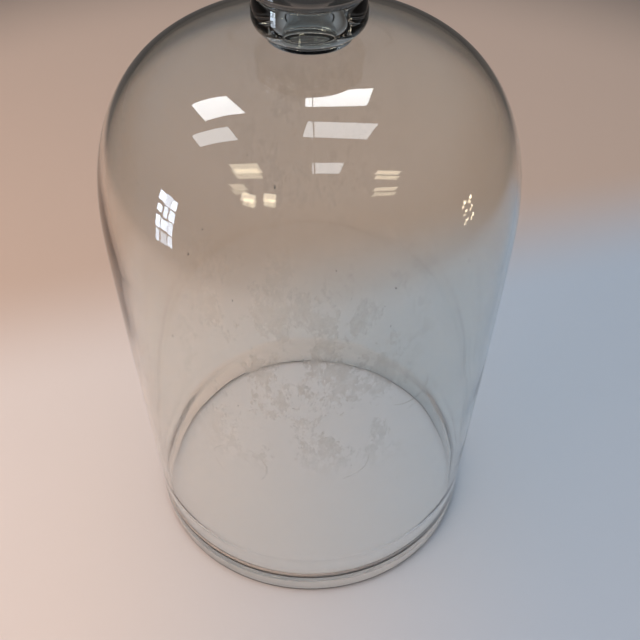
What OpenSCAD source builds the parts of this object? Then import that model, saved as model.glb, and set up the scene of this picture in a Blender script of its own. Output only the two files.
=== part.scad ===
// Glass cloche: a blown clear bell with a thick fire-polished foot and a solid two-ring knob.
// Millimetres, +Z up. Origin on the bell's axis, in the plane that the foot rests on.

/* [Bell] */
// Outer radius of the wall at the foot
foot_r = 110; // [95:1:125]
// Outer radius at the shoulder, where the wall turns into the crown
shoulder_r = 118; // [110:1:130]
// Height of the shoulder
shoulder_z = 244; // [220:1:270]
// Height of the top of the crown
crown_z = 347; // [330:1:370]
// How early the wall reaches its full width (1 is a plain cone)
wall_power = 1.25; // [1:0.05:1.6]
// Squareness of the crown as it rises from the shoulder
crown_rise_power = 2.24; // [1.9:0.02:2.6]
// Squareness of the crown as it comes in to the axis
crown_reach_power = 3.78; // [2.4:0.02:4.2]
// Thickness of the wall
wall_t = 3.2; // [2.6:0.1:4]
// Thickness of the crown under the knob
crown_t = 4.4; // [3.6:0.1:5.4]

/* [Foot rim] */
// Height of the thick band at the foot
rim_h = 24; // [18:1:28]
// Thickness of that band
rim_t = 4.6; // [4.4:0.1:5.4]
// How far the band swells out of the wall
rim_swell = 0.5; // [0.3:0.1:0.9]
// Radius that fire polishing left on the cut edge
rim_edge_r = 1.8; // [1.2:0.1:2]

/* [Knob] */
// Radius of the short neck
neck_r = 20; // [17:0.5:22]
// Height of the neck, from the crown to the collar
neck_h = 3; // [3:0.5:5]
// Radius of the fillet where the neck spreads on to the crown
neck_flare = 2; // [1.5:0.5:2.5]
// Largest radius of the collar
collar_r = 29; // [27:0.5:31]
// Height of the collar
collar_h = 20; // [17:0.5:22]
// Radius of the groove between the collar and the cap
groove_r = 26.8; // [25:0.1:27]
// Largest radius of the cap
cap_r = 30.5; // [28:0.5:32]
// Height of the cap
cap_h = 21; // [17:0.5:24]
// Radius of the sealed air bubble in the neck and the collar
bubble_r = 13; // [9:0.5:15]
// Height of that bubble above the collar's underside
bubble_h = 14; // [9:0.5:15]

/* [Hidden] */

$fn = 180;
wall_steps = 10;
crown_steps = 30;
round_steps = 10;

// The knob stands on a small level seat at the top of the crown.
seat_r = neck_r + neck_flare + 0.5;
collar_z = crown_z + neck_h;
groove_z = collar_z + collar_h;
collar_mid_z = collar_z + 0.4 * collar_h;
cap_edge_h = 4.5;

glass = [0.72, 0.78, 0.76, 0.45];
thick_glass = [0.55, 0.63, 0.62, 0.7];

// Outer radius of the wall at height z, from the foot to the shoulder
function wall_radius(z) =
    foot_r + (shoulder_r - foot_r) * (1 - pow(1 - z / shoulder_z, wall_power));

// Outer radius of the rim at height z: the wall with a smooth swelling on it
function rim_radius(z) = wall_radius(z) + rim_swell * pow(sin(180 * z / rim_h), 2);

// A point on the crown at angle u: 0 at the shoulder, 90 on the axis
function crown_point(r, top, u) = [
    r * pow(cos(u), 2 / crown_reach_power),
    shoulder_z + (top - shoulder_z) * pow(sin(u), 2 / crown_rise_power)
];

// Wall and crown from the top of the rim up to a level seat, for a skin set in by t at the wall
function skin(t, top, seat) = concat(
    [for (i = [0:wall_steps - 1])
        let (z = rim_h + (shoulder_z - rim_h) * i / wall_steps) [wall_radius(z) - t, z]],
    [for (i = [0:crown_steps])
        let (p = crown_point(shoulder_r - t, top, 90 * i / crown_steps)) if (p[0] > seat) p],
    [[seat, top], [0, top]]
);

// Points of an ellipse arc about a centre, with half axes a (radial) and b (upward)
function ellipse_arc(centre, a, b, from, to) = [
    for (i = [0:round_steps])
        let (u = from + (to - from) * i / round_steps)
            [centre[0] + a * cos(u), centre[1] + b * sin(u)]
];

function reversed(points) = [for (i = [len(points) - 1:-1:0]) points[i]];

module turned(outline) {
    rotate_extrude() polygon(outline);
}

// The blown shell, open at the bottom, from the rim to the crown
module bell() {
    color(glass)
        turned(concat(skin(0, crown_z, seat_r), reversed(skin(wall_t, crown_z - crown_t, seat_r))));
}

// The thick band that the cloche stands on: it swells out a little and is rounded at its edge
module foot_rim() {
    inner_r = foot_r - rim_t;
    outer_r = rim_radius(rim_edge_r);
    outer_side = [for (i = [0:round_steps])
        let (z = rim_edge_r + (rim_h - rim_edge_r) * i / round_steps)
            [rim_radius(z), z]];
    top_inner_r = wall_radius(rim_h) - wall_t;
    inner_side = [for (i = [0:round_steps])
        let (s = i / round_steps)
            [inner_r + (top_inner_r - inner_r) * (1 - cos(180 * s)) / 2, rim_h * (1 + 3 * s) / 4]];
    color(glass) turned(concat(
        ellipse_arc([outer_r - rim_edge_r, rim_edge_r], rim_edge_r, rim_edge_r, -90, -4),
        outer_side,
        reversed(inner_side),
        ellipse_arc([inner_r + rim_edge_r, rim_edge_r], rim_edge_r, rim_edge_r, 180, 270)
    ));
}

// The short neck, spreading on to the crown, with the lower part of the bubble through it
module neck() {
    flare_centre = [neck_r + neck_flare, crown_z + neck_flare];
    color(thick_glass) turned(concat(
        [[bubble_r, crown_z]],
        ellipse_arc(flare_centre, neck_flare, neck_flare, 270, 180),
        [[neck_r, collar_z], [bubble_r, collar_z]]
    ));
}

// The fat ring above the neck: it bulges out of the neck and draws in to the groove
module collar() {
    color(thick_glass) turned(concat(
        [[bubble_r, collar_z]],
        ellipse_arc([neck_r, collar_mid_z], collar_r - neck_r, collar_mid_z - collar_z, -90, 0),
        ellipse_arc([groove_r, collar_mid_z], collar_r - groove_r, groove_z - collar_mid_z, 4, 90),
        [[0, groove_z], [0, collar_z + bubble_h]],
        ellipse_arc([0, collar_z], bubble_r, bubble_h, 84, 6)
    ));
}

// The button that the hand closes round, with a rounded lower edge and a low domed top
module knob_cap() {
    color(thick_glass) turned(concat(
        [[0, groove_z]],
        ellipse_arc([groove_r, groove_z + cap_edge_h], cap_r - groove_r, cap_edge_h, -90, 0),
        ellipse_arc([0, groove_z + cap_edge_h], cap_r, cap_h - cap_edge_h, 4, 90)
    ));
}

bell();
foot_rim();
neck();
collar();
knob_cap();
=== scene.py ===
"""Glass cloche: the looks, in Blender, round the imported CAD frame. Metres, +Z up."""
import math
import random

import bmesh
import bpy
from mathutils import Matrix, Vector, noise


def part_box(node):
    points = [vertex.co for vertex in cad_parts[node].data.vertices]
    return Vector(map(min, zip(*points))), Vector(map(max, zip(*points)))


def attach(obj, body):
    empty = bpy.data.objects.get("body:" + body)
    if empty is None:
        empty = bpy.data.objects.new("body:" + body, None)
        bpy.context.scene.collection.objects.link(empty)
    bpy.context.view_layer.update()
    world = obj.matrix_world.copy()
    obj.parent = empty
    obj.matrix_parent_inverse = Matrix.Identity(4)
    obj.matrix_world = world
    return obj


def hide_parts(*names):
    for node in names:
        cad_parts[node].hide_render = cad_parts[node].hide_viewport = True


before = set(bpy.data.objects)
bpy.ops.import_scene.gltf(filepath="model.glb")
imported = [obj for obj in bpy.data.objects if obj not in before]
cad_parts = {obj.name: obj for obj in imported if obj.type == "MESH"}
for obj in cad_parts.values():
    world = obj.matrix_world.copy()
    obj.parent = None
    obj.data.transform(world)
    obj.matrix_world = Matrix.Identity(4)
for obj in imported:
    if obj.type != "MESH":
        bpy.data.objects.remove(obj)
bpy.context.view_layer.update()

# ---------------------------------------------------------------------------------------------
# Sizes. The frame gives every height and outer radius that it can. What it can't give, such as
# the thickness of the glass, repeats the CAD source's values, in metres.

RIM_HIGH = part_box("foot_rim")[1]
BELL_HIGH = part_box("bell")[1]
COLLAR_LOW, COLLAR_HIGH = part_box("collar")
CAP_LOW, CAP_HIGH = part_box("knob_cap")

FOOT_R = 0.110
SHOULDER_R = BELL_HIGH.x
SHOULDER_Z = 0.244
CROWN_Z = BELL_HIGH.z
WALL_POWER = 1.25
RISE_POWER = 2.24
REACH_POWER = 3.78
WALL_T = 0.0032
CROWN_T = 0.0044

RIM_H = RIM_HIGH.z
RIM_T = 0.0046
RIM_SWELL = 0.0005
RIM_EDGE_R = 0.0018

NECK_R = 0.020
NECK_FLARE = 0.002
COLLAR_R = COLLAR_HIGH.x
COLLAR_Z = COLLAR_LOW.z
GROOVE_Z = CAP_LOW.z
COLLAR_MID_Z = COLLAR_Z + 0.4 * (GROOVE_Z - COLLAR_Z)
GROOVE_R = 0.0268
CAP_R = CAP_HIGH.x
CAP_TOP_Z = CAP_HIGH.z
CAP_EDGE_H = 0.0045
BUBBLE_R = 0.013
BUBBLE_H = 0.014

NECK_FOOT_R = NECK_R + NECK_FLARE
SEAT_R = NECK_FOOT_R + 0.0005

# How finely the pieces are turned. A radius below ON_AXIS is a single point on the axis.
AROUND = 216
WALL_STEPS = 110
CROWN_STEPS = 72
RIM_STEPS = 24
ON_AXIS = 1e-7

# What hand blowing left in the bell. A span is a pair of heights or radii, with none of the
# effect at the first and all of it at the second. LEFT_EXTRA_END is the other way round: the
# extra thickness is whole at its first height and gone at its second.
FRONT = -math.pi / 2
SEAM_ANGLE = FRONT + math.radians(1.9)
SEAM_HALF_ANGLE = math.radians(0.25)
SEAM_DEPTH = 0.0002
SEAM_SPAN = (CROWN_Z - 0.045, CROWN_Z - 0.012)
WAVE_SIZE = 0.045
OUTER_WAVE_DEPTH = 0.00012
INNER_WAVE_DEPTH = 0.0002
WAVE_FOOT_SPAN = (RIM_H, RIM_H + 0.03)
WAVE_SEAT_SPAN = (SEAT_R, SEAT_R + 0.02)
RIDGE_Z = 0.034
RIDGE_HALF_H = 0.007
RIDGE_DEPTH = 0.00028
LEFT_EXTRA_T = 0.0013
LEFT_EXTRA_SPAN = (0.03, 0.21)
LEFT_EXTRA_END = (0.22, 0.345)

# ---------------------------------------------------------------------------------------------
# Glass. A tint is what the glass does to light that goes through it, and a shade is what it
# leaves of the light that falls through it on the floor. The rim's warm tint is painted light,
# and the knob's and the cap's dark tints are painted shade.

GLASS_IOR = 1.5
CLEAR_TINT = (0.88, 0.89, 0.865)
# Painted warm light: the rim's tint is warmer than the bell's glass.
RIM_PAINTED_WARM_TINT = (0.93, 0.88, 0.81)
# Painted shade: the knob's tint is darker than the bell's glass.
KNOB_PAINTED_SHADE_TINT = (0.64, 0.69, 0.70)
# Painted shade: the cap's nearly black tint makes the dark band along its lower edge.
CAP_PAINTED_SHADE_TINT = (0.24, 0.26, 0.28)
WHITE = (1.0, 1.0, 1.0)

BELL_SHADE = (0.93, 0.94, 0.935)
KNOB_SHADE = (0.75, 0.77, 0.76)
FOOT_SHADE_LOW = (0.18, 0.18, 0.18)
FOOT_SHADE_HIGH = (0.90, 0.905, 0.90)
FOOT_SHADE_H = 0.010

# The dry film inside the bell: the spans along each axis where it fades in, and how much of it
# there is on the far half of the wall.
FILM_COLOUR = (0.60, 0.60, 0.57)
FILM_FROM_BELOW = (0.125, 0.175)
FILM_FROM_ABOVE = (0.315, 0.235)
FILM_FROM_LEFT = (-0.078, -0.025)
FILM_FROM_RIGHT = (0.082, 0.005)
FILM_FROM_BACK = (0.03, -0.07)
FILM_AT_BACK = 0.3

# The rings that dried drops left, as (centre, radius), and the half width of their line
DROP_RINGS = (
    ((-0.038, -0.104, 0.138), 0.016),
    ((0.014, -0.112, 0.150), 0.020),
    ((0.052, -0.100, 0.200), 0.013),
)
DROP_LINE = 0.0011


def wall_radius(z):
    """Outer radius of the wall between the foot and the shoulder."""
    return FOOT_R + (SHOULDER_R - FOOT_R) * (1 - max(1 - z / SHOULDER_Z, 0) ** WALL_POWER)


def rim_radius(z):
    """Outer radius of the rim: the wall with a smooth swelling on it."""
    return wall_radius(z) + RIM_SWELL * math.sin(math.pi * z / RIM_H) ** 2


def crown_point(radius, top, angle):
    """A point on the crown: angle 0 is the shoulder, 90 degrees is the axis."""
    c, s = max(math.cos(angle), 0.0), max(math.sin(angle), 0.0)
    rise = (top - SHOULDER_Z) * s ** (2 / RISE_POWER)
    return radius * c ** (2 / REACH_POWER), SHOULDER_Z + rise


def skin(thickness, top):
    """The wall from the top of the rim up over the crown to the seat of the knob."""
    points = []
    for i in range(WALL_STEPS):
        z = RIM_H + (SHOULDER_Z - RIM_H) * i / WALL_STEPS
        points.append((wall_radius(z) - thickness, z))
    for i in range(CROWN_STEPS):
        point = crown_point(SHOULDER_R - thickness, top, math.pi / 2 * i / CROWN_STEPS)
        if point[0] > SEAT_R:
            points.append(point)
    return points


def arc(centre, a, b, start, end, steps=14):
    """Points along an ellipse arc; angles in degrees."""
    points = []
    for i in range(steps + 1):
        u = math.radians(start + (end - start) * i / steps)
        points.append((centre[0] + a * math.cos(u), centre[1] + b * math.sin(u)))
    return points


def ease(value, start, end):
    """0 before start, 1 after end, smooth between."""
    t = min(max((value - start) / (end - start), 0.0), 1.0)
    return t * t * (3 - 2 * t)


# ---------------------------------------------------------------------------------------------
# Meshes

def add_object(name, data):
    """Puts a new object that shows the data in the scene."""
    thing = bpy.data.objects.new(name, data)
    bpy.context.scene.collection.objects.link(thing)
    return thing


def object_from(name, mesh):
    """Puts a finished bmesh in the scene."""
    data = bpy.data.meshes.new(name)
    mesh.to_mesh(data)
    mesh.free()
    return add_object(name, data)


def turn_angles():
    """Angles round the axis, with a few more beside the seam at the front of the crown."""
    angles = [2 * math.pi * k / AROUND for k in range(AROUND)]
    seam = SEAM_ANGLE % (2 * math.pi)
    angles = [a for a in angles if abs(a - seam) > 2.5 * SEAM_HALF_ANGLE]
    angles += [seam + step * SEAM_HALF_ANGLE for step in range(-2, 3)]
    return sorted(angles)


def add_band(mesh, low, high, slot):
    """Faces between two rings of points. A ring of one point is on the axis."""
    if len(low) == 1 and len(high) == 1:
        return
    count = max(len(low), len(high))
    for k in range(count):
        j = (k + 1) % count
        if len(low) == 1:
            corners = (low[0], high[j], high[k])
        elif len(high) == 1:
            corners = (low[k], low[j], high[0])
        else:
            corners = (low[k], low[j], high[j], high[k])
        face = mesh.faces.new(corners)
        face.material_index = slot
        face.smooth = True


def lathe(name, profile, slots, shift=None, join=1):
    """Turns a closed profile of (radius, height) about Z. slots[i] is the material of the band
    from point i to point i + 1, and shift(i, angle) moves a point along its radius. The shading
    breaks where a band of the join material meets another."""
    angles = turn_angles()
    mesh = bmesh.new()
    rings = []
    for i, (radius, height) in enumerate(profile):
        if radius < ON_AXIS:
            rings.append([mesh.verts.new((0, 0, height))])
            continue
        ring = []
        for a in angles:
            r = radius + (shift(i, a) if shift else 0.0)
            ring.append(mesh.verts.new((r * math.cos(a), r * math.sin(a), height)))
        rings.append(ring)
    for i, low in enumerate(rings):
        add_band(mesh, low, rings[(i + 1) % len(rings)], slots[i])
    for edge in mesh.edges:
        kinds = {face.material_index == join for face in edge.link_faces}
        edge.smooth = len(kinds) == 1
    bmesh.ops.recalc_face_normals(mesh, faces=mesh.faces)
    return object_from(name, mesh)


def finish_piece(piece, node, materials):
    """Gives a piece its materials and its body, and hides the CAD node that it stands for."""
    for material in materials:
        piece.data.materials.append(material)
    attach(piece, "root")
    if node:
        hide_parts(node)


# ---------------------------------------------------------------------------------------------
# Shader nodes

def feed(tree, socket, value):
    """Gives an input its value: a number, a vector, a colour or another node's output."""
    if isinstance(value, bpy.types.NodeSocket):
        tree.links.new(value, socket)
    elif socket.type == "RGBA":
        socket.default_value = (*value, 1)
    else:
        socket.default_value = value


def shader_node(tree, kind, **values):
    """A node with its inputs set. An underscore in an input's name stands for a space."""
    node = tree.nodes.new(kind)
    for name, value in values.items():
        feed(tree, node.inputs[name.replace("_", " ")], value)
    return node


def math_node(tree, operation, *values, clamp=False):
    """A Math node on its inputs, each a number or another node's output."""
    node = tree.nodes.new("ShaderNodeMath")
    node.operation = operation
    node.use_clamp = clamp
    for socket, value in zip(node.inputs, values):
        feed(tree, socket, value)
    return node.outputs[0]


def vector_node(tree, operation, a, b):
    """A Vector Math node on two inputs."""
    node = tree.nodes.new("ShaderNodeVectorMath")
    node.operation = operation
    feed(tree, node.inputs[0], a)
    feed(tree, node.inputs[1], b)
    return node


def ramp_between(tree, value, start, end):
    """0 at start and 1 at end, smooth between."""
    node = shader_node(tree, "ShaderNodeMapRange", Value=value, From_Min=start, From_Max=end)
    node.interpolation_type = "SMOOTHSTEP"
    return node.outputs["Result"]


def colour_mix(tree, factor, a, b):
    """Colour a where the factor is 0 and colour b where it is 1."""
    node = tree.nodes.new("ShaderNodeMix")
    node.data_type = "RGBA"
    for name, value in (("Factor", factor), ("A", a), ("B", b)):
        feed(tree, node.inputs[name], value)
    return node.outputs["Result"]


def noise_node(tree, vector, scale, detail, roughness=0.5, distortion=0.0):
    """Noise between 0 and 1."""
    node = shader_node(tree, "ShaderNodeTexNoise", Vector=vector, Scale=scale, Detail=detail,
                       Roughness=roughness, Distortion=distortion)
    return node.outputs["Fac"]


def place_on_piece(tree):
    """A point's place in metres, whole and split into x, y and z."""
    place = tree.nodes.new("ShaderNodeTexCoord").outputs["Object"]
    return place, shader_node(tree, "ShaderNodeSeparateXYZ", Vector=place).outputs


# ---------------------------------------------------------------------------------------------
# Materials

def new_material(name):
    """A material with an empty node tree."""
    material = bpy.data.materials.new(name)
    material.use_nodes = True
    material.node_tree.nodes.clear()
    return material, material.node_tree


def glass_shader(tree, tint, roughness=0.0, transmission=1.0, ior=GLASS_IOR):
    """Clear glass, or what covers it."""
    return shader_node(tree, "ShaderNodeBsdfPrincipled", Base_Color=tint, Roughness=roughness,
                       IOR=ior, Transmission_Weight=transmission).outputs[0]


def set_surface(tree, shader):
    shader_node(tree, "ShaderNodeOutputMaterial", Surface=shader)


def set_glass_surface(tree, shader, shade):
    """Shadow and diffuse rays pass straight through the glass, so that the floor under it is
    lit softly; every other ray meets the glass."""
    path = tree.nodes.new("ShaderNodeLightPath")
    for name in ("Is Shadow Ray", "Is Diffuse Ray"):
        clear = shader_node(tree, "ShaderNodeBsdfTransparent", Color=shade)
        mix = tree.nodes.new("ShaderNodeMixShader")
        for socket, value in zip(mix.inputs, (path.outputs[name], shader, clear.outputs[0])):
            feed(tree, socket, value)
        shader = mix.outputs[0]
    set_surface(tree, shader)


def glass_material(name, tint, shade, ior=GLASS_IOR):
    """Clear polished glass."""
    material, tree = new_material(name)
    set_glass_surface(tree, glass_shader(tree, tint, ior=ior), shade)
    return material


def rim_glass_material():
    """The foot's glass. Its shade is dark close to the floor, where the rounded edge turns the
    light away, and clear above."""
    material, tree = new_material("rim_clear_glass")
    _, (_, _, z) = place_on_piece(tree)
    height = ramp_between(tree, z, 0.0, FOOT_SHADE_H)
    shade = colour_mix(tree, height, FOOT_SHADE_LOW, FOOT_SHADE_HIGH)
    # The rim's warm tint is painted light.
    set_glass_surface(tree, glass_shader(tree, RIM_PAINTED_WARM_TINT), shade)
    return material


def film_mask(tree, place, x, y, z):
    """Where the dry mineral film lies on the inside of the bell, from 0 to 1."""
    low = ramp_between(tree, z, *FILM_FROM_BELOW)
    high = ramp_between(tree, z, *FILM_FROM_ABOVE)
    band = math_node(tree, "MULTIPLY", low, high)
    left = ramp_between(tree, x, *FILM_FROM_LEFT)
    right = ramp_between(tree, x, *FILM_FROM_RIGHT)
    middle = math_node(tree, "MULTIPLY", left, right)
    front = ramp_between(tree, y, *FILM_FROM_BACK)
    back = math_node(tree, "SUBTRACT", 1.0, front)
    back = math_node(tree, "MULTIPLY", back, FILM_AT_BACK)
    here = math_node(tree, "MAXIMUM", front, back)
    here = math_node(tree, "MULTIPLY", here, middle)
    here = math_node(tree, "MULTIPLY", here, band)
    # The blots are drawn out along the height, and a fine grain breaks them up.
    tall = vector_node(tree, "MULTIPLY", place, (1.0, 1.0, 0.55)).outputs[0]
    blots = noise_node(tree, tall, scale=46.0, detail=14.0, roughness=0.78, distortion=0.15)
    blots = ramp_between(tree, blots, 0.50, 0.55)
    grain = noise_node(tree, tall, scale=260.0, detail=6.0, roughness=0.7, distortion=0.2)
    grain = ramp_between(tree, grain, 0.30, 0.72)
    grain = math_node(tree, "MULTIPLY_ADD", grain, 0.6, 0.4)
    blots = math_node(tree, "MULTIPLY", blots, grain)
    return math_node(tree, "MULTIPLY", blots, here, clamp=True)


def drop_ring(tree, place, centre, radius):
    """The edge that a dried drop left on the wall: a thin broken ring about centre."""
    reach = vector_node(tree, "DISTANCE", place, centre).outputs["Value"]
    wobble = noise_node(tree, place, scale=60.0, detail=3.0)
    wobble = math_node(tree, "MULTIPLY_ADD", wobble, 0.006, -0.003)
    reach = math_node(tree, "ADD", reach, wobble)
    off = math_node(tree, "SUBTRACT", reach, radius)
    off = math_node(tree, "ABSOLUTE", off)
    line = ramp_between(tree, off, DROP_LINE, 0.0)
    broken = noise_node(tree, place, scale=34.0, detail=2.0)
    broken = ramp_between(tree, broken, 0.50, 0.60)
    broken = math_node(tree, "MULTIPLY", broken, 0.5)
    return math_node(tree, "MULTIPLY", line, broken)


def hazed_glass_material():
    """The inside of the bell: the same glass under a thin dry film of lime."""
    material, tree = new_material("bell_hazed_glass")
    place, (x, y, z) = place_on_piece(tree)
    mask = film_mask(tree, place, x, y, z)
    for centre, radius in DROP_RINGS:
        mask = math_node(tree, "MAXIMUM", mask, drop_ring(tree, place, centre, radius))
    colour = colour_mix(tree, mask, CLEAR_TINT, FILM_COLOUR)
    roughness = math_node(tree, "MULTIPLY", mask, 0.12)
    transmission = math_node(tree, "MULTIPLY_ADD", mask, -0.30, 1.0)
    glass = glass_shader(tree, colour, roughness, transmission)
    set_glass_surface(tree, glass, BELL_SHADE)
    return material


def join_material():
    """The face where two fused pieces of glass meet: nothing shows there."""
    material, tree = new_material("fused_join")
    clear = shader_node(tree, "ShaderNodeBsdfTransparent", Color=WHITE)
    set_surface(tree, clear.outputs[0])
    return material


# ---------------------------------------------------------------------------------------------
# Pieces

def blown_waves(radius, z, angle, depth, seed):
    """How far hand blowing leaves the skin inside its true curve, 0 to depth."""
    point = Vector((radius * math.cos(angle), radius * math.sin(angle), z + seed))
    return -depth * (0.5 + 0.5 * noise.noise(point / WAVE_SIZE))


def crown_seam(z, angle):
    """The fine dark line that runs down the front of the crown from the knob."""
    off = abs((angle - SEAM_ANGLE + math.pi) % (2 * math.pi) - math.pi)
    line = max(1 - off / SEAM_HALF_ANGLE, 0.0)
    return -SEAM_DEPTH * line * ease(z, *SEAM_SPAN)


def soft_ridge(z):
    """A low ring of thicker glass that the blowing left on the inside above the rim."""
    off = abs(z - RIDGE_Z) / RIDGE_HALF_H
    return -RIDGE_DEPTH * (1 - ease(off, 0.0, 1.0))


def uneven_wall(z, angle):
    """The wall came out thicker on the left: how far its inside stands further in there."""
    side = max(-math.cos(angle), 0.0) ** 2
    return -LEFT_EXTRA_T * side * ease(z, *LEFT_EXTRA_SPAN) * (1 - ease(z, *LEFT_EXTRA_END))


def make_bell(clear, hazed, join):
    """The blown shell, with its outside clear and its inside hazed."""
    outer = skin(0.0, CROWN_Z)
    inner = skin(WALL_T, CROWN_Z - CROWN_T)
    seat = [(SEAT_R, CROWN_Z), (NECK_FOOT_R, CROWN_Z), (BUBBLE_R, CROWN_Z), (0.0, CROWN_Z)]
    profile = outer + seat + [(0.0, CROWN_Z - CROWN_T), (SEAT_R, CROWN_Z - CROWN_T)] + inner[::-1]
    slots = [0] * len(profile)
    first_inner = len(outer) + len(seat)
    for i in range(first_inner, len(profile) - 1):
        slots[i] = 1
    neck_band = len(outer) + 1
    slots[neck_band] = 2
    slots[-1] = 2

    def shift(i, angle):
        radius, z = profile[i]
        fade = ease(z, *WAVE_FOOT_SPAN) * ease(radius, *WAVE_SEAT_SPAN)
        if i < len(outer):
            waves = fade * blown_waves(radius, z, angle, OUTER_WAVE_DEPTH, seed=0.0)
            return waves + crown_seam(z, angle)
        waves = fade * blown_waves(radius, z, angle, INNER_WAVE_DEPTH, seed=5.0)
        return waves + soft_ridge(z) + uneven_wall(z, angle)

    bell = lathe("bell_glass", profile, slots, shift, join=2)
    finish_piece(bell, "bell", [clear, hazed, join])


def make_turned(name, node, profile, join_bands, glass, join):
    """A piece of one glass, fused to its neighbours at the given bands of its profile."""
    slots = [int(i in join_bands) for i in range(len(profile))]
    piece = lathe(name, profile, slots)
    finish_piece(piece, node, [glass, join])


def make_rim(glass, join):
    """The thick band that the cloche stands on, rounded at its edge."""
    inner_r = FOOT_R - RIM_T
    outer_r = rim_radius(RIM_EDGE_R)
    top_inner_r = wall_radius(RIM_H) - WALL_T
    outer_side = []
    for i in range(1, RIM_STEPS + 1):
        z = RIM_EDGE_R + (RIM_H - RIM_EDGE_R) * i / RIM_STEPS
        outer_side.append((rim_radius(z), z))
    inner_side = []
    for i in range(RIM_STEPS + 1):
        s = i / RIM_STEPS
        step_in = (top_inner_r - inner_r) * (1 - math.cos(math.pi * s)) / 2
        inner_side.append((inner_r + step_in, RIM_H * (1 + 3 * s) / 4))
    profile = arc((outer_r - RIM_EDGE_R, RIM_EDGE_R), RIM_EDGE_R, RIM_EDGE_R, -90, 0)
    profile += outer_side
    top_band = len(profile) - 1
    profile += inner_side[::-1]
    profile += arc((inner_r + RIM_EDGE_R, RIM_EDGE_R), RIM_EDGE_R, RIM_EDGE_R, 180, 270)
    make_turned("foot_rim_glass", "foot_rim", profile, (top_band,), glass, join)


def make_neck(glass, join):
    """The short neck, spreading on to the crown."""
    flare_centre = (NECK_FOOT_R, CROWN_Z + NECK_FLARE)
    profile = [(BUBBLE_R, CROWN_Z)]
    profile += arc(flare_centre, NECK_FLARE, NECK_FLARE, 270, 180)
    profile += [(NECK_R, COLLAR_Z), (BUBBLE_R, COLLAR_Z)]
    top_band = len(profile) - 2
    make_turned("neck_glass", "neck", profile, (0, top_band), glass, join)


def make_collar(glass, join):
    """The fat ring above the neck, with the top of the sealed bubble in it."""
    bulge, draw_in = COLLAR_R - NECK_R, COLLAR_R - GROOVE_R
    profile = [(BUBBLE_R, COLLAR_Z)]
    profile += arc((NECK_R, COLLAR_MID_Z), bulge, COLLAR_MID_Z - COLLAR_Z, -90, 0, 24)
    profile += arc((GROOVE_R, COLLAR_MID_Z), draw_in, GROOVE_Z - COLLAR_MID_Z, 4, 90, 24)
    top_band = len(profile) - 1
    profile += [(0.0, GROOVE_Z), (0.0, COLLAR_Z + BUBBLE_H)]
    profile += arc((0.0, COLLAR_Z), BUBBLE_R, BUBBLE_H, 84, 6, 20)
    make_turned("collar_glass", "collar", profile, (0, top_band), glass, join)


def make_cap(glass, join):
    """The button on top, with a rounded lower edge and a low dome."""
    edge_z = GROOVE_Z + CAP_EDGE_H
    profile = [(0.0, GROOVE_Z)]
    profile += arc((GROOVE_R, edge_z), CAP_R - GROOVE_R, CAP_EDGE_H, -90, 0)
    profile += arc((0.0, edge_z), CAP_R, CAP_TOP_Z - edge_z, 4, 90, 40)
    make_turned("knob_cap_glass", "knob_cap", profile, (0,), glass, join)


def make_seed_bubbles(air, count=46):
    """Small bubbles, drawn out along the wall, that were blown into the glass."""
    draw = random.Random(7)
    mesh = bmesh.new()
    for _ in range(count):
        z = draw.uniform(0.03, 0.235)
        angle = draw.uniform(0, 2 * math.pi)
        size = draw.uniform(0.00018, 0.00050) * (1.5 if draw.random() < 0.15 else 1.0)
        radius = wall_radius(z) - WALL_T * draw.uniform(0.4, 0.55)
        place = Matrix.Translation((radius * math.cos(angle), radius * math.sin(angle), z))
        place = place @ Matrix.Rotation(angle, 4, "Z")
        stretch = Matrix.Diagonal((0.8 * size, size, draw.uniform(1.3, 3.0) * size, 1.0))
        bmesh.ops.create_icosphere(mesh, subdivisions=2, radius=1.0, matrix=place @ stretch)
    for face in mesh.faces:
        face.smooth = True
    finish_piece(object_from("seed_bubbles", mesh), None, [air])


# ---------------------------------------------------------------------------------------------
# Stage: floor, lights, room, camera

FLOOR_HALF = 6.0
FLOOR_Z = -0.0002
# Painted light: the floor is warm on the left and cool on the right.
FLOOR_PAINTED_WARM_LEFT = (0.79, 0.70, 0.65)
FLOOR_PAINTED_COOL_RIGHT = (0.51, 0.59, 0.69)
FLOOR_BEHIND = (0.62, 0.47, 0.38)
# Painted shade: the floor turns dark far from the cloche.
FLOOR_FAR_PAINTED_SHADE = (0.17, 0.15, 0.135)
FLOOR_CENTRE = (0.0, 0.15, 0.0)

COOL = (0.93, 0.97, 1.0)
WARM = (1.0, 0.86, 0.62)
SKY = (0.72, 0.84, 1.0)
PANEL_Z = 2.0
BELL_MIDDLE = (0.0, 0.0, 0.28)
FLOOR_MIDDLE = (0.0, 0.05, 0.0)
SOFT_SIZE = (1.4, 1.4)

ROOM_LOW = (0.09, 0.078, 0.07)
ROOM_HIGH = (0.34, 0.345, 0.36)


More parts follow.
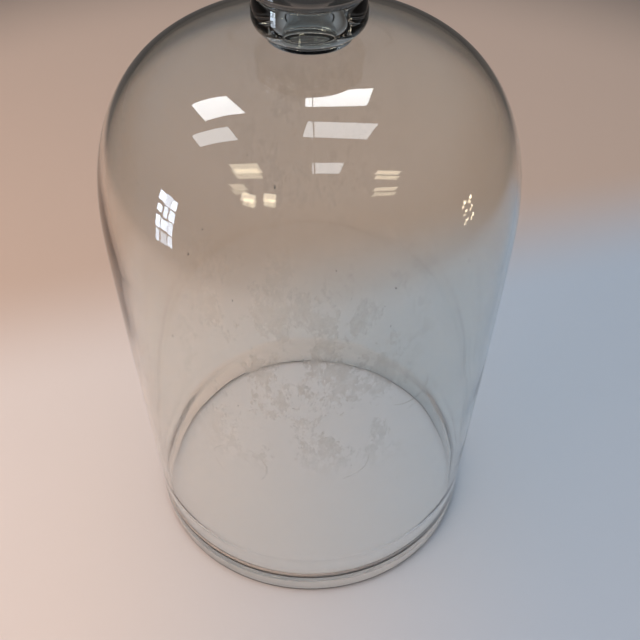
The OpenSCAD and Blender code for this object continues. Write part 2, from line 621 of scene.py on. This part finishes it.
def floor_material():
    """Pale paper, with painted light that makes it warm on the left and cool on the right, warmer
    behind the cloche, and with painted shade that makes it dark far from it."""
    material, tree = new_material("floor_paper")
    place, (x, y, _) = place_on_piece(tree)
    # Painted light: warm on the left, cool on the right.
    warm_to_cool_light = ramp_between(tree, x, -0.18, 0.20)
    colour = colour_mix(tree, warm_to_cool_light, FLOOR_PAINTED_WARM_LEFT, FLOOR_PAINTED_COOL_RIGHT)
    lean = math_node(tree, "MULTIPLY", x, -0.30)
    depth = math_node(tree, "ADD", y, lean)
    behind = ramp_between(tree, depth, 0.13, 0.30)
    colour = colour_mix(tree, behind, colour, FLOOR_BEHIND)
    # Painted shade: the floor darkens far from the cloche.
    reach = vector_node(tree, "DISTANCE", place, FLOOR_CENTRE).outputs["Value"]
    far = ramp_between(tree, reach, 0.60, 1.00)
    colour = colour_mix(tree, far, colour, FLOOR_FAR_PAINTED_SHADE)
    weave = noise_node(tree, place, scale=900.0, detail=2.0)
    bump = shader_node(tree, "ShaderNodeBump", Strength=0.15, Distance=0.0004, Height=weave)
    paper = shader_node(tree, "ShaderNodeBsdfPrincipled", Base_Color=colour, Roughness=0.95,
                        Specular_IOR_Level=0.1, Normal=bump.outputs[0])
    set_surface(tree, paper.outputs[0])
    return material


def make_floor():
    """A plain sheet just below the plane that the foot rests on."""
    mesh = bpy.data.meshes.new("floor")
    s = FLOOR_HALF
    mesh.from_pydata([(-s, -s, 0), (s, -s, 0), (s, s, 0), (-s, s, 0)], [], [(0, 1, 2, 3)])
    floor = add_object("floor", mesh)
    floor.location.z = FLOOR_Z
    mesh.materials.append(floor_material())


def lamp(name, place, size, glow, colour, turn=0.0, aim=None, mirrored=True, through=False):
    """A flat rectangular lamp of the given glow. It shines down, turned about Z, or at aim.
    The glass mirrors it, or else it only lights the floor. Only a lamp with through set is
    also seen through the glass."""
    light = bpy.data.lights.new(name, "AREA")
    light.shape = "RECTANGLE"
    light.size, light.size_y = size
    light.energy = glow * size[0] * size[1]
    light.color = colour
    holder = add_object(name, light)
    holder.location = place
    holder.rotation_euler.z = math.radians(turn)
    if aim is not None:
        holder.rotation_mode = "QUATERNION"
        holder.rotation_quaternion = (Vector(aim) - Vector(place)).to_track_quat("-Z", "Y")
    holder.visible_camera = False
    holder.visible_transmission = through
    holder.visible_glossy = mirrored
    holder.visible_diffuse = not mirrored


def make_ceiling_panels():
    """Rows of flat panels overhead, in front of the cloche and behind it."""
    for name, x, y, width, depth, turn, glow, colour in (
        ("back_left", -0.97, 0.83, 0.66, 0.55, 16, 42, COOL),
        ("back_right", 0.20, 1.20, 0.50, 0.60, 0, 42, COOL),
        ("middle_left", -1.29, 0.03, 0.88, 0.37, 8, 24, COOL),
        ("middle_right", 0.30, 0.18, 0.70, 0.44, -6, 24, COOL),
        ("front_left", -1.03, -0.97, 0.56, 0.34, 3, 24, WARM),
        ("front_right", 0.26, -0.94, 0.44, 0.36, 0, 24, COOL),
        ("front_far_right", 1.46, -1.08, 0.62, 0.15, 0, 30, WARM),
        ("near_far_right", 1.85, -1.83, 0.75, 0.20, 0, 24, WARM),
        ("near_left", -1.59, -1.76, 0.46, 0.28, 3, 18, WARM),
    ):
        lamp("panel_" + name, (x, y, PANEL_Z), (width, depth), glow, colour, turn,
             through=colour == WARM)


def lamp_grid(name, draw, rows, columns, corner, step, widths, heights, glows, colour, through):
    """Small lamps in an upright grid, aimed at the bell. The corner is the grid's lowest and
    nearest lamp, and the step is the way along Y and up to the next."""
    x, y, z = corner
    for row in range(rows):
        for column in range(columns):
            place = (x, y + step[0] * column, z + step[1] * row)
            size = (draw.uniform(*widths), draw.uniform(*heights))
            glow = draw.uniform(*glows)
            lamp(f"{name}_{row}_{column}", place, size, glow, colour, aim=BELL_MIDDLE,
                 through=through)


def make_windows():
    """Small bright panes low down at both sides, and two warm ones far in front."""
    draw = random.Random(3)
    lamp_grid("window", draw, 4, 3, corner=(-0.95, -0.40, 0.04), step=(0.070, 0.110),
              widths=(0.04, 0.08), heights=(0.06, 0.11), glows=(20, 75), colour=SKY,
              through=False)
    lamp_grid("glint", draw, 3, 2, corner=(0.95, -0.17, 0.12), step=(0.07, 0.07),
              widths=(0.015, 0.03), heights=(0.015, 0.03), glows=(40, 80), colour=WARM,
              through=True)
    for name, place, size in (
        ("pane_left", (-1.24, -1.85, 1.61), (0.30, 0.28)),
        ("pane_right", (-0.81, -1.98, 1.75), (0.26, 0.28)),
    ):
        lamp(name, place, size, 34, WARM, aim=BELL_MIDDLE, through=True)


def make_soft_light():
    """Wide soft lamps, warm from the left and cool from above, that the glass doesn't mirror."""
    for name, place, glow, colour in (
        ("soft_left", (-1.0, -0.5, 0.7), 8.0, (1.0, 0.70, 0.52)),
        ("soft_over", (0.0, 0.3, 2.1), 7.0, (0.70, 0.86, 1.0)),
    ):
        lamp(name, place, SOFT_SIZE, glow, colour, aim=FLOOR_MIDDLE, mirrored=False)


def make_world():
    """A dim room: dark and warm at the horizon, grey overhead."""
    world = bpy.data.worlds.new("studio")
    bpy.context.scene.world = world
    world.use_nodes = True
    tree = world.node_tree
    direction = tree.nodes.new("ShaderNodeTexCoord").outputs["Generated"]
    split = shader_node(tree, "ShaderNodeSeparateXYZ", Vector=direction)
    height = ramp_between(tree, split.outputs["Z"], 0.0, 0.75)
    background = tree.nodes["Background"]
    feed(tree, background.inputs["Color"], colour_mix(tree, height, ROOM_LOW, ROOM_HIGH))
    feed(tree, background.inputs["Strength"], 1.0)


def make_camera():
    """Looks down at the cloche from in front, as a person standing at the bench does."""
    data = bpy.data.cameras.new("camera")
    camera = add_object("camera", data)
    pitch, roll, distance = 0.7695, 0.008, 0.5738
    target = Vector((0.00627, 0, 0.1495))
    forward = Vector((0, math.cos(pitch), -math.sin(pitch)))
    side, rise = Vector((1, 0, 0)), Vector((0, math.sin(pitch), math.cos(pitch)))
    right = side * math.cos(roll) + rise * math.sin(roll)
    up = rise * math.cos(roll) - side * math.sin(roll)
    place = target - forward * distance
    camera.matrix_world = Matrix((
        (right.x, up.x, -forward.x, place.x),
        (right.y, up.y, -forward.y, place.y),
        (right.z, up.z, -forward.z, place.z),
        (0, 0, 0, 1),
    ))
    data.sensor_width = 36
    data.lens = 49.5
    data.clip_start = 0.01
    bpy.context.scene.camera = camera


def main():
    bell = glass_material("bell_clear_glass", CLEAR_TINT, BELL_SHADE)
    rim = rim_glass_material()
    # The knob's darker tint is painted shade.
    knob = glass_material("knob_painted_shade_glass", KNOB_PAINTED_SHADE_TINT, KNOB_SHADE)
    # The cap's nearly black tint is painted shade.
    cap_shaded = glass_material("cap_painted_shade_glass", CAP_PAINTED_SHADE_TINT, KNOB_SHADE)
    join = join_material()
    make_bell(bell, hazed_glass_material(), join)
    make_rim(rim, join)
    make_neck(knob, join)
    make_collar(knob, join)
    make_cap(cap_shaded, join)
    # Air inside glass bends light the other way, so its index is the glass's turned over.
    make_seed_bubbles(glass_material("seed_bubble_air", WHITE, WHITE, ior=1 / GLASS_IOR))
    make_floor()
    make_ceiling_panels()
    make_windows()
    make_soft_light()
    make_world()
    make_camera()
    bpy.context.scene.view_settings.view_transform = "Standard"


main()
